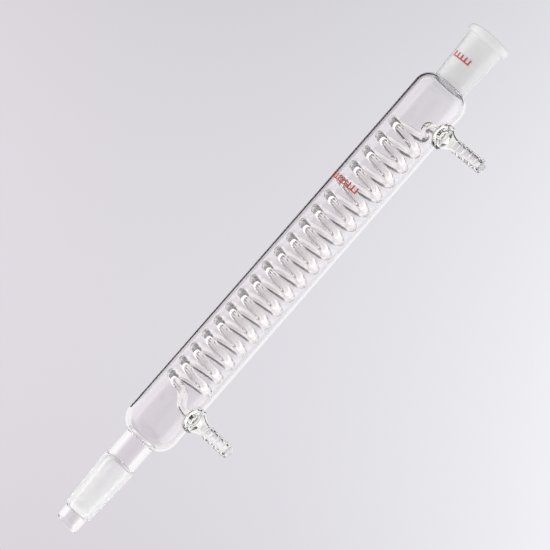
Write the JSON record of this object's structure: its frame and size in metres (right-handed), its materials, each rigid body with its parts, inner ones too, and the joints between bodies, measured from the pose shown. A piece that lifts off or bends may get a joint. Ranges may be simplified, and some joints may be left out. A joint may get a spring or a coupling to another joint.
{
  "type": "coil condenser",
  "caption": "Glass reflux condenser: clear jacket with an inner cooling coil, ground socket above, ground cone with drip tip below, and hose barbs on one side.",
  "frame": {"origin": "on the glass's axis, at the large end of the ground cone, which is where it seats in a flask's socket", "axes": "+Z along the axis, from the cone up to the socket; +X along both hose barbs; +Y completes a right-handed frame"},
  "size_m": [0.0765, 0.0396, 0.4225],
  "materials": {
    "jacket_glass": "clear, polished borosilicate",
    "coil_glass": "clear, polished borosilicate",
    "barb_glass": "clear, polished borosilicate",
    "seal_glass": "thick clear glass with a faint yellow-green tint",
    "ground_glass": "finely ground, frosted white",
    "red_enamel": "thin fired enamel, satin red"
  },
  "bodies": {
    "root": {"outer_jacket": "jacket_glass", "upper_joint_socket": "ground_glass", "lower_neck_tube": "jacket_glass", "lower_joint_cone": "ground_glass", "drip_tip": "jacket_glass", "cooling_coil": "coil_glass", "coil_upper_lead": "coil_glass", "coil_lower_lead": "coil_glass", "upper_ring_seal": "seal_glass", "lower_ring_seal": "seal_glass", "upper_hose_barb": "barb_glass", "lower_hose_barb": "barb_glass", "socket_enamel_mark": "red_enamel", "jacket_enamel_mark": "red_enamel"}
  },
  "joints": []
}
